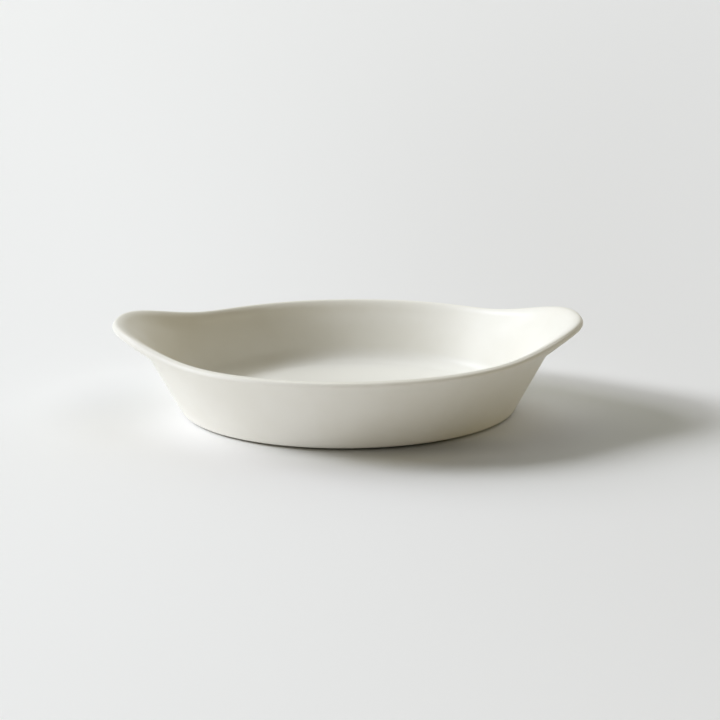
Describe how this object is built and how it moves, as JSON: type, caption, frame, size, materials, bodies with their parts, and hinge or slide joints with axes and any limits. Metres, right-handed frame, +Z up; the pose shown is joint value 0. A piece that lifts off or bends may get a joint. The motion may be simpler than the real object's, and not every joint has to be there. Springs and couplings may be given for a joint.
{
  "type": "gratin dish",
  "caption": "Shallow oval ceramic gratin dish with flared walls, a soft lip and a raised ear at each end for lifting.",
  "frame": {"origin": "middle of the ground foot, on the table", "axes": "+X from ear to ear, +Y across the dish, +Z up out of the bowl"},
  "size_m": [0.24, 0.156, 0.0477],
  "materials": {
    "bare_clay": "fired, unglazed, ground smooth on the foot",
    "glaze": "satin warm off-white glaze"
  },
  "bodies": {
    "root": {"clay_body": "bare_clay", "outer_glaze": "glaze", "inner_glaze": "glaze", "base_glaze": "glaze"}
  },
  "joints": []
}
